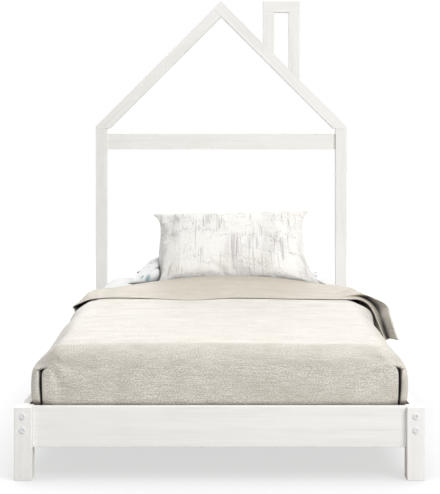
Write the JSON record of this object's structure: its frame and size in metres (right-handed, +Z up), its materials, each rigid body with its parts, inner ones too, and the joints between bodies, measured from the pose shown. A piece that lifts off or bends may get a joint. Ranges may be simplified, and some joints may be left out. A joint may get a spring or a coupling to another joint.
{
  "type": "house frame bed",
  "caption": "Low white child's bed with a house-shaped headboard and chimney, slatted base, mattress, turned-down bedspread and two pillows.",
  "frame": {"origin": "on the floor, under the middle of the frame's footprint", "axes": "+Z up, +Y from the foot to the headboard, +X to the right seen from the foot (the chimney's side)"},
  "size_m": [1.04, 2.011, 1.4625],
  "materials": {
    "whitewashed_wood": "satin",
    "slat_wood": "matte",
    "dowel_wood": "matte",
    "bolt_paint": "satin",
    "zinc_steel": "satin",
    "mattress_knit": "matte",
    "spread_linen": "matte",
    "front_pillow_cotton": "matte",
    "rear_pillow_cotton": "matte"
  },
  "bodies": {
    "bed_frame": {"footboard_post_left": "whitewashed_wood", "footboard_post_right": "whitewashed_wood", "footboard_rail": "whitewashed_wood", "side_rail_left": "whitewashed_wood", "side_rail_right": "whitewashed_wood", "headboard_post_left": "whitewashed_wood", "headboard_post_right": "whitewashed_wood", "headboard_crossbar": "whitewashed_wood", "headboard_lower_rail": "whitewashed_wood", "roof_rafter_left": "whitewashed_wood", "roof_rafter_right": "whitewashed_wood", "chimney_post_inner": "whitewashed_wood", "chimney_post_outer": "whitewashed_wood", "chimney_cap": "whitewashed_wood", "slat_01": "slat_wood", "slat_02": "slat_wood", "slat_03": "slat_wood", "slat_04": "slat_wood", "slat_05": "slat_wood", "slat_06": "slat_wood", "slat_07": "slat_wood", "slat_08": "slat_wood", "slat_09": "slat_wood", "slat_10": "slat_wood", "slat_11": "slat_wood", "slat_12": "slat_wood", "slat_13": "slat_wood", "slat_14": "slat_wood", "slat_cleat_left": "slat_wood", "slat_cleat_right": "slat_wood", "footboard_dowels": "dowel_wood", "lower_rail_dowels": "dowel_wood", "crossbar_dowels": "dowel_wood", "rafter_foot_dowels": "dowel_wood", "ridge_dowels": "dowel_wood", "chimney_dowels": "dowel_wood", "footboard_bolts": "bolt_paint", "headboard_bolts": "bolt_paint", "barrel_nuts": "zinc_steel", "cleat_screws": "zinc_steel", "slat_screws": "zinc_steel"},
    "mattress_body": {"mattress": "mattress_knit"},
    "bedspread_body": {"bedspread": "spread_linen"},
    "rear_pillow_body": {"rear_pillow": "rear_pillow_cotton"},
    "front_pillow_body": {"front_pillow": "front_pillow_cotton"}
  },
  "joints": [
    {"name": "mattress_lift", "type": "slide", "parent": "bed_frame", "child": "mattress_body", "axis": [0, 0, 1], "range_m": [0, 0.35]},
    {"name": "bedspread_lift", "type": "slide", "parent": "mattress_body", "child": "bedspread_body", "axis": [0, 0, 1], "range_m": [0, 0.4]},
    {"name": "rear_pillow_lift", "type": "slide", "parent": "mattress_body", "child": "rear_pillow_body", "axis": [0, 0, 1], "range_m": [0, 0.3]},
    {"name": "front_pillow_lift", "type": "slide", "parent": "rear_pillow_body", "child": "front_pillow_body", "axis": [0, 0, 1], "range_m": [0, 0.3]}
  ]
}
